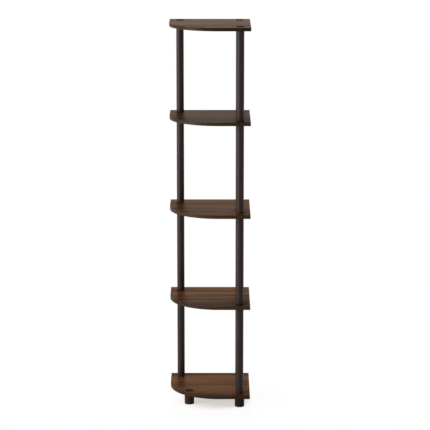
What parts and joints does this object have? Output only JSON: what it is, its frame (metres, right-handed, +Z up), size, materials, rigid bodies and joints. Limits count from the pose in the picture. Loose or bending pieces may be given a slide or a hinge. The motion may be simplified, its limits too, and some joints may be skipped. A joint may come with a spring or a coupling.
{
  "type": "corner shelf unit",
  "caption": "Tall open corner shelf: boards with one rounded corner on screw-together round tube columns, with short feet and low round caps.",
  "frame": {"origin": "on the floor, under the middle of the boards' square outline", "axes": "+Z up, +X to the right, +Y to the back; the room's corner is at +X +Y and the rounded corners point to -X -Y"},
  "size_m": [0.3, 0.3, 1.4346],
  "materials": {
    "laminate": "dark walnut laminate, satin, grain along X",
    "edge_band": "walnut edge strip, satin",
    "tube": "dark espresso brown, satin",
    "plug": "dark brown moulding",
    "cap": "dark brown moulding, satin",
    "foot": "dark brown moulding, satin"
  },
  "bodies": {
    "root": {"board_1": "laminate", "board_2": "laminate", "board_3": "laminate", "board_4": "laminate", "board_5": "laminate", "edge_band_1": "edge_band", "edge_band_2": "edge_band", "edge_band_3": "edge_band", "edge_band_4": "edge_band", "edge_band_5": "edge_band", "stud_plug_left_1": "plug", "stud_plug_left_2": "plug", "stud_plug_left_3": "plug", "stud_plug_left_4": "plug", "stud_plug_corner_1": "plug", "stud_plug_corner_2": "plug", "stud_plug_corner_3": "plug", "stud_plug_corner_4": "plug", "stud_plug_right_1": "plug", "stud_plug_right_2": "plug", "stud_plug_right_3": "plug", "stud_plug_right_4": "plug", "tube_left_1": "tube", "tube_left_2": "tube", "tube_left_3": "tube", "tube_left_4": "tube", "tube_corner_1": "tube", "tube_corner_2": "tube", "tube_corner_3": "tube", "tube_corner_4": "tube", "tube_right_1": "tube", "tube_right_2": "tube", "tube_right_3": "tube", "tube_right_4": "tube", "socket_plug_left_1": "plug", "socket_plug_left_2": "plug", "socket_plug_left_3": "plug", "socket_plug_left_4": "plug", "socket_plug_corner_1": "plug", "socket_plug_corner_2": "plug", "socket_plug_corner_3": "plug", "socket_plug_corner_4": "plug", "socket_plug_right_1": "plug", "socket_plug_right_2": "plug", "socket_plug_right_3": "plug", "socket_plug_right_4": "plug", "foot_left": "foot", "foot_corner": "foot", "foot_right": "foot", "foot_front": "foot", "cap_left": "cap", "cap_corner": "cap", "cap_right": "cap", "cap_front": "cap"}
  },
  "joints": []
}
